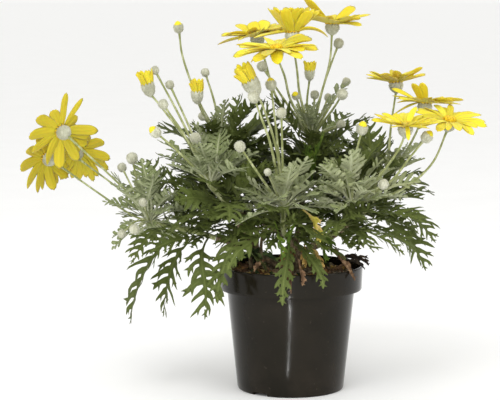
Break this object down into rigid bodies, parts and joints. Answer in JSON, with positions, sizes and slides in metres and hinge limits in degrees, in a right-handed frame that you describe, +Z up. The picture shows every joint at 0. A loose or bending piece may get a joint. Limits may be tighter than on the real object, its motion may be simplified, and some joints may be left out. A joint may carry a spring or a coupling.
{
  "type": "potted marguerite daisy",
  "caption": "Bushy yellow daisy in a round black nursery pot: branching woody stems, cut green leaves, felted buds and long-stalked daisy flowers.",
  "frame": {"origin": "middle of the pot's flat underside, on the surface the pot stands on", "axes": "+Z up, -Y towards the viewer of the picture, +X to the viewer's right"},
  "size_m": [0.3805, 0.2302, 0.3242],
  "materials": {
    "pot plastic": "black, semi-gloss, moulded",
    "compost": "dark brown, fibrous, matt",
    "bark": "rough, matt",
    "green leaves": "dark green, soft sheen",
    "felted stalks": "pale grey-green, felted",
    "petals": "bright yellow, satin",
    "florets": "golden orange, powdery",
    "dead leaves": "dry brown, matt"
  },
  "bodies": {
    "root": {"bud_tip_1": "petals", "bud_tip_3": "petals", "bud_tip_4": "petals", "bud_tip_5": "petals", "bud_tip_6": "petals", "bud_tip_7": "petals", "compost": "compost", "crown_back_left": "felted stalks", "crown_back_right": "felted stalks", "crown_far_left": "felted stalks", "crown_front": "felted stalks", "crown_front_right": "felted stalks", "crown_left": "felted stalks", "crown_right": "felted stalks", "crown_top": "felted stalks", "crown_upper_left": "felted stalks", "dead_leaf_1": "dead leaves", "dead_leaf_2": "dead leaves", "dead_leaf_3": "dead leaves", "disc_left_1": "florets", "disc_left_2": "florets", "disc_left_3": "florets", "disc_right_1": "florets", "disc_right_2": "florets", "disc_right_3": "florets", "disc_right_4": "florets", "disc_top_1": "florets", "disc_top_2": "florets", "disc_top_3": "florets", "disc_top_4": "florets", "leaves_back_left": "green leaves", "leaves_back_right": "green leaves", "leaves_far_left": "green leaves", "leaves_front": "green leaves", "leaves_front_right": "green leaves", "leaves_left": "green leaves", "leaves_right": "green leaves", "leaves_top": "green leaves", "leaves_upper_left": "green leaves", "pot": "pot plastic", "rays_left_1": "petals", "rays_left_2": "petals", "rays_left_3": "petals", "rays_right_1": "petals", "rays_right_2": "petals", "rays_right_3": "petals", "rays_right_4": "petals", "rays_top_1": "petals", "rays_top_2": "petals", "rays_top_3": "petals", "rays_top_4": "petals", "tuft_centre": "petals", "tuft_left": "petals", "tuft_top": "petals", "tuft_upper_left": "petals", "woody_stems": "bark"}
  },
  "joints": []
}
